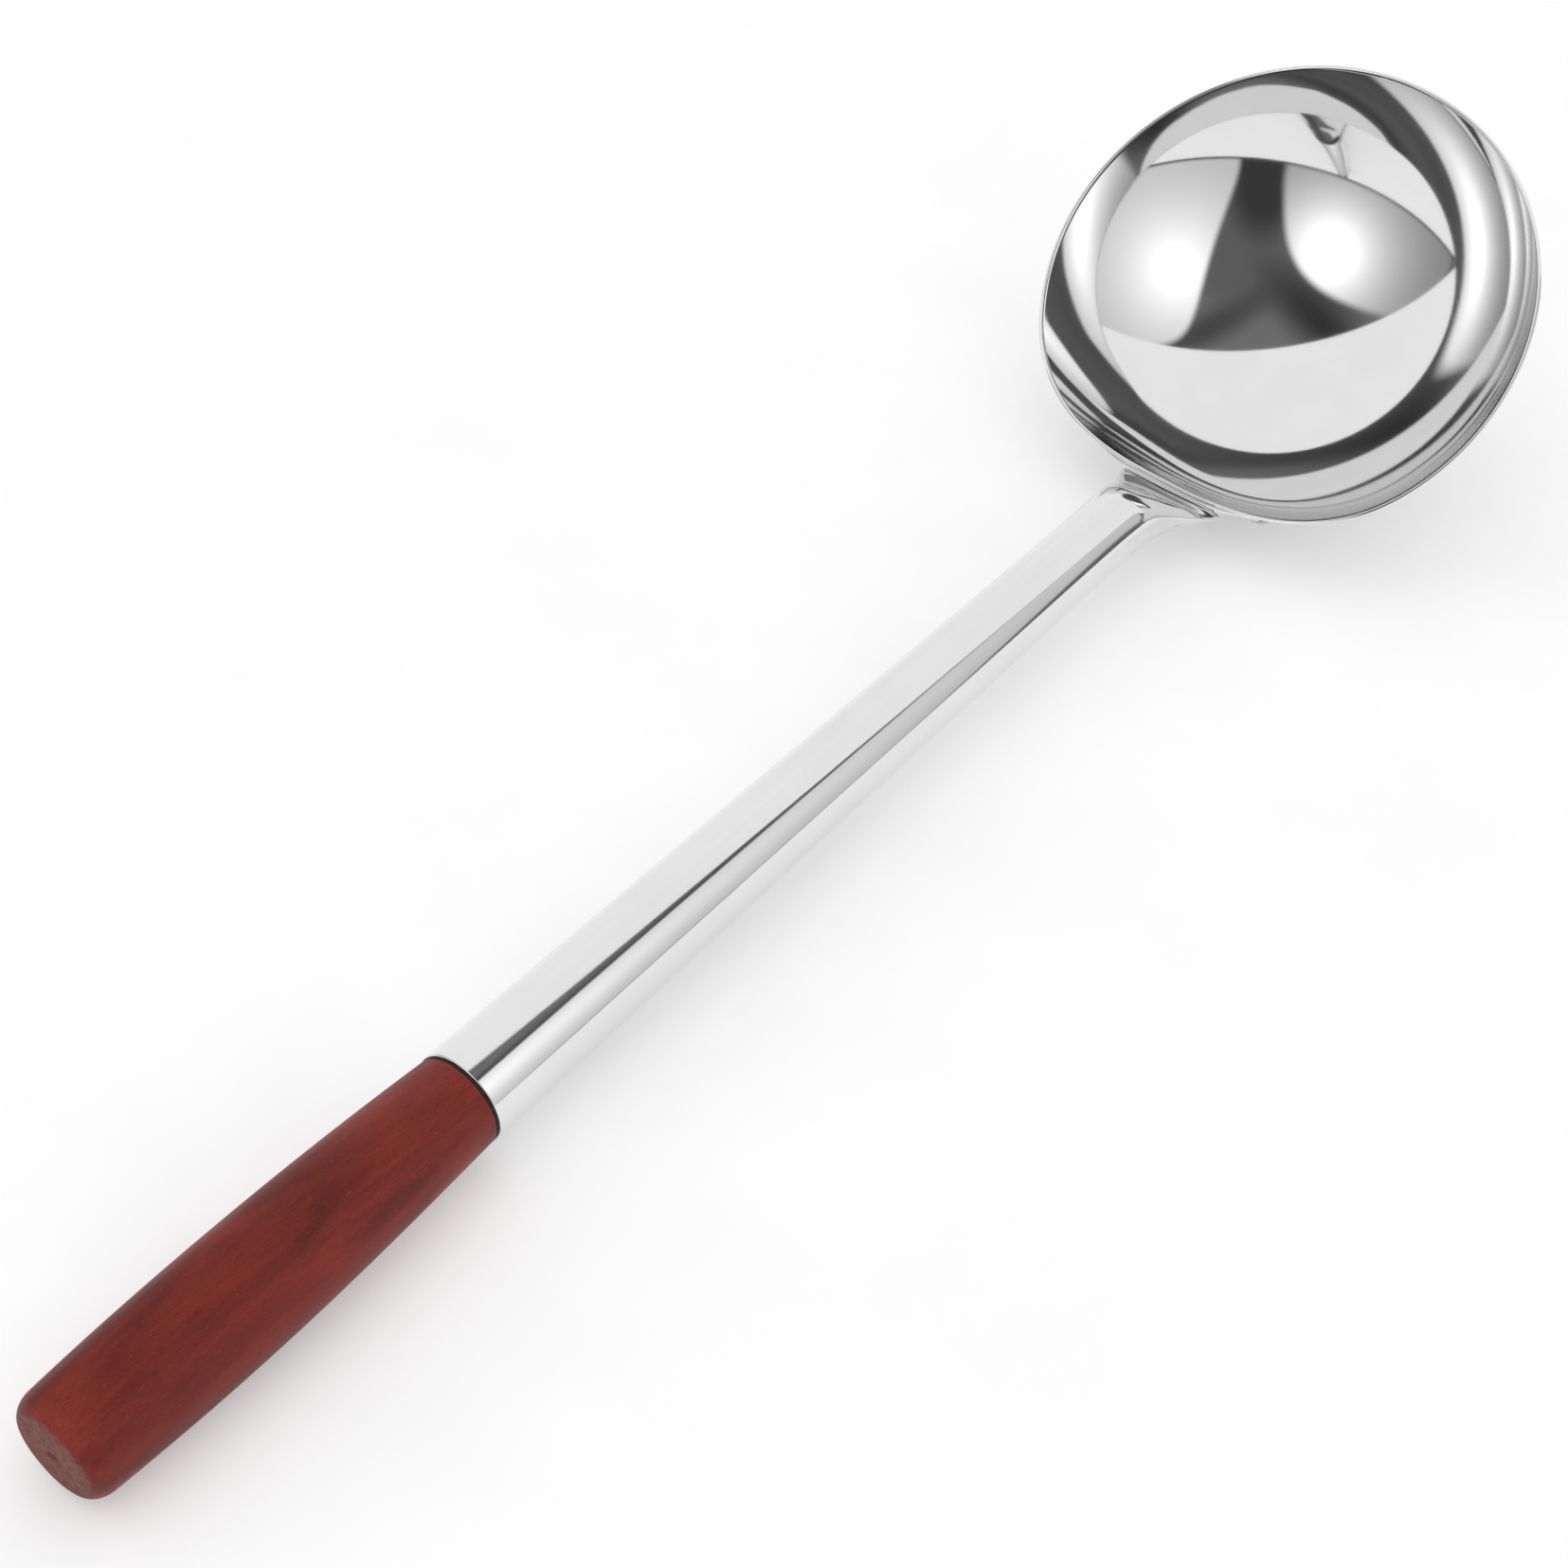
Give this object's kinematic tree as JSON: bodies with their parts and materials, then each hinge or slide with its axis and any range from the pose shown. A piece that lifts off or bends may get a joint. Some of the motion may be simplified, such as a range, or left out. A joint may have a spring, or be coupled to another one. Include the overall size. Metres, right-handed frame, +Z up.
{
  "type": "wok ladle",
  "caption": "Deep round steel ladle with a long tapered tube handle welded to the bowl and a turned wooden grip, lying at rest.",
  "frame": {"origin": "under the middle of the ladle's bounding box, on the table that it lies on", "axes": "+X along the ladle from the bowl towards the grip's butt, +Z up, Y=0 is the ladle's mid-plane"},
  "size_m": [0.437, 0.1198, 0.0785],
  "materials": {
    "mirror_steel": "mirror-polished stamped stainless steel with fine spin lines",
    "polished_tube_steel": "lengthwise-polished stainless steel",
    "weld_steel": "ground weld",
    "stained_wood": "satin red-brown stain with open pores, paler at the butt",
    "black_glue": "matt",
    "pin_steel": "satin"
  },
  "bodies": {
    "root": {"bowl": "mirror_steel", "handle_tube": "polished_tube_steel", "tube_seam_weld": "weld_steel", "neck_weld": "weld_steel", "wood_grip": "stained_wood", "grip_adhesive": "black_glue", "grip_pin": "pin_steel"}
  },
  "joints": []
}
